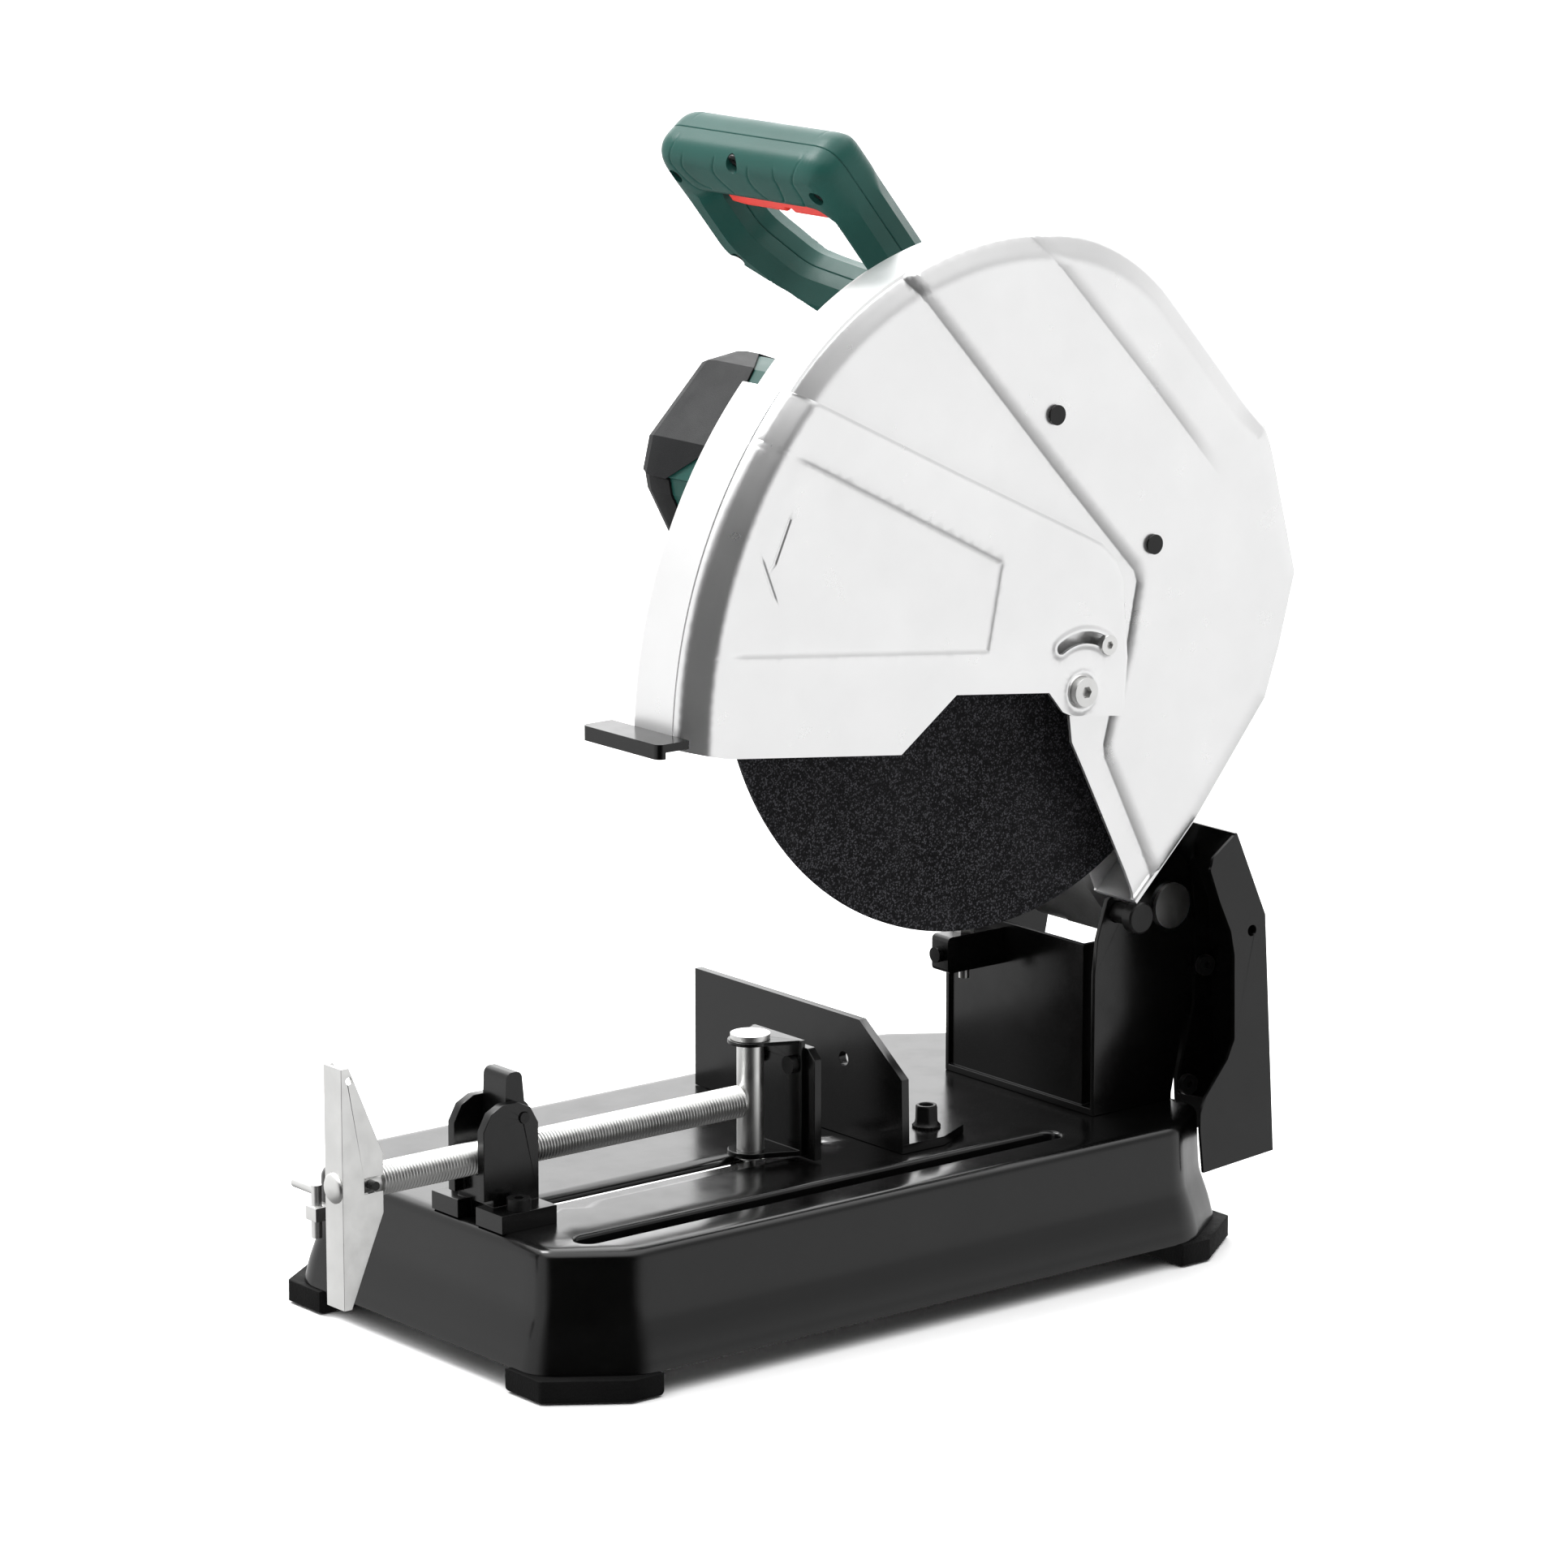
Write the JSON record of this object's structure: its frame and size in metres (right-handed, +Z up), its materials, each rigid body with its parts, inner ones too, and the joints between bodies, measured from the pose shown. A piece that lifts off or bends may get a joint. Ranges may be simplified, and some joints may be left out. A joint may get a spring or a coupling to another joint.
{
  "type": "abrasive chop saw",
  "caption": "Benchtop abrasive cut-off saw: sprung tilting head with D-handle and trigger, guarded abrasive wheel, swivelling fence and quick-release screw vise on a pressed steel base.",
  "frame": {"origin": "centre of the bounding box in plan, on the surface that the rubber feet stand on", "axes": "+Z up; -Y towards the operator and the vise handle; +X towards the wheel's free side"},
  "size_m": [0.288, 0.598, 0.6422],
  "materials": {
    "black_steel": "black oxide steel",
    "bronze": "sintered bronze",
    "cap_grey": "dark grey plastic",
    "cast_grey": "cast aluminium",
    "coat_black": "gloss black powder coat",
    "coat_white": "silver-white powder coat",
    "copper": "copper",
    "core": "laminated steel",
    "housing_teal": "fine-textured teal-green plastic",
    "rubber": "black rubber",
    "steel": "machined steel",
    "switch_black": "black plastic",
    "trigger_red": "gloss red plastic",
    "wheel": "speckled resin-bonded abrasive",
    "zinc": "bright zinc plate"
  },
  "bodies": {
    "stand": {"base_tray": "coat_black", "rubber_feet": "rubber", "hinge_bracket": "coat_black", "bracket_bolts": "black_steel", "hinge_shaft": "zinc", "shaft_ring": "zinc", "spark_deflector": "coat_black", "deflector_screws": "black_steel", "depth_stop_block": "coat_black", "depth_stop_bolt": "zinc", "hex_key": "zinc", "key_clip": "zinc", "fence_bolts": "black_steel", "nut_block": "coat_black", "nut_block_bolts": "black_steel", "lever_pin": "black_steel"},
    "head": {"gear_case": "cast_grey", "hinge_bushes": "bronze", "torsion_spring": "steel", "upper_guard": "coat_white", "guard_screws": "black_steel", "guard_pivot_bolt": "zinc", "limit_pin": "zinc", "motor_housing": "housing_teal", "motor_end_cap": "cap_grey", "motor_screws": "zinc", "stator": "core", "brush_holders": "bronze", "armature_bearings": "steel", "spindle_bearings": "steel", "handle_front": "housing_teal", "handle_rear": "housing_teal", "handle_screws": "black_steel", "switch_body": "switch_black", "cord_gland": "rubber"},
    "wheel": {"spindle": "steel", "spindle_gear": "steel", "inner_flange": "steel", "outer_flange": "steel", "arbor_bolt": "steel", "abrasive_disc": "wheel"},
    "armature": {"armature_shaft": "steel", "armature_core": "core", "commutator": "copper", "cooling_fan": "switch_black"},
    "guard_flap": {"lower_guard": "coat_white", "guard_lever": "coat_black"},
    "trigger": {"trigger": "trigger_red"},
    "lock_button": {"lock_button": "switch_black"},
    "lock_pin": {"lock_pin": "black_steel"},
    "fence": {"fence": "coat_black"},
    "half_nut_lever": {"half_nut_lever": "coat_black"},
    "vise_carriage": {"swivel_pin": "zinc", "pin_guide": "zinc"},
    "vise_screw": {"vise_spindle": "zinc", "t_handle": "zinc", "cross_pin": "black_steel"},
    "vise_jaw": {"jaw_bracket": "coat_black", "jaw_plate": "coat_black", "jaw_bolts": "black_steel"}
  },
  "joints": [
    {"name": "head_tilt", "type": "hinge", "parent": "stand", "child": "head", "pos_m": [0, 0.24, 0.192], "axis": [1, 0, 0], "range_deg": [0, 38.6], "stiffness_Nm_per_rad": 24, "springref_deg": -57.3},
    {"name": "lower_guard_swing", "type": "hinge", "parent": "head", "child": "guard_flap", "pos_m": [0.0985, 0.134, 0.336], "axis": [1, 0, 0], "range_deg": [-68, 0]},
    {"name": "disc_spin", "type": "hinge", "parent": "head", "child": "wheel", "pos_m": [0.0985, 0.089, 0.382], "axis": [1, 0, 0], "continuous": true},
    {"name": "armature_spin", "type": "hinge", "parent": "head", "child": "armature", "pos_m": [-0.0015, 0.08, 0.43626], "axis": [1, 0, 0], "continuous": true},
    {"name": "trigger_pull", "type": "slide", "parent": "head", "child": "trigger", "axis": [0, -0.6293, 0.7771], "range_m": [0, 0.005], "stiffness_N_per_m": 500, "springref_m": -0.008},
    {"name": "lock_button_push", "type": "slide", "parent": "head", "child": "lock_button", "axis": [0, 1, 0], "range_m": [0, 0.003], "stiffness_N_per_m": 800, "springref_m": -0.005},
    {"name": "lock_pin_pull", "type": "slide", "parent": "stand", "child": "lock_pin", "axis": [1, 0, 0], "range_m": [0, 0.008], "stiffness_N_per_m": 800, "springref_m": -0.006},
    {"name": "fence_swivel", "type": "hinge", "parent": "stand", "child": "fence", "pos_m": [0.0575, 0.086, 0.082], "axis": [0, 0, 1], "range_deg": [-25, 0]},
    {"name": "half_nut_lift", "type": "hinge", "parent": "stand", "child": "half_nut_lever", "pos_m": [0.0325, -0.1845, 0.134], "axis": [1, 0, 0], "range_deg": [0, 60]},
    {"name": "vise_travel", "type": "slide", "parent": "stand", "child": "vise_carriage", "axis": [0, 1, 0], "range_m": [-0.13, 0.04]},
    {"name": "screw_spin", "type": "hinge", "parent": "vise_carriage", "child": "vise_screw", "pos_m": [0.0325, -0.019, 0.112], "axis": [0, 1, 0], "range_deg": [-11700, 3600]},
    {"name": "jaw_swivel", "type": "hinge", "parent": "vise_carriage", "child": "vise_jaw", "pos_m": [0.0325, -0.019, 0.112], "axis": [0, 0, 1], "range_deg": [-25, 0]}
  ],
  "couplings": [
    {"joint": "lower_guard_swing", "follows": "head_tilt", "ratio": -1.7616},
    {"joint": "armature_spin", "follows": "disc_spin", "ratio": -4.5},
    {"joint": "vise_travel", "follows": "screw_spin", "m_per_rad": 0.00063662},
    {"joint": "jaw_swivel", "follows": "fence_swivel", "ratio": 1}
  ]
}
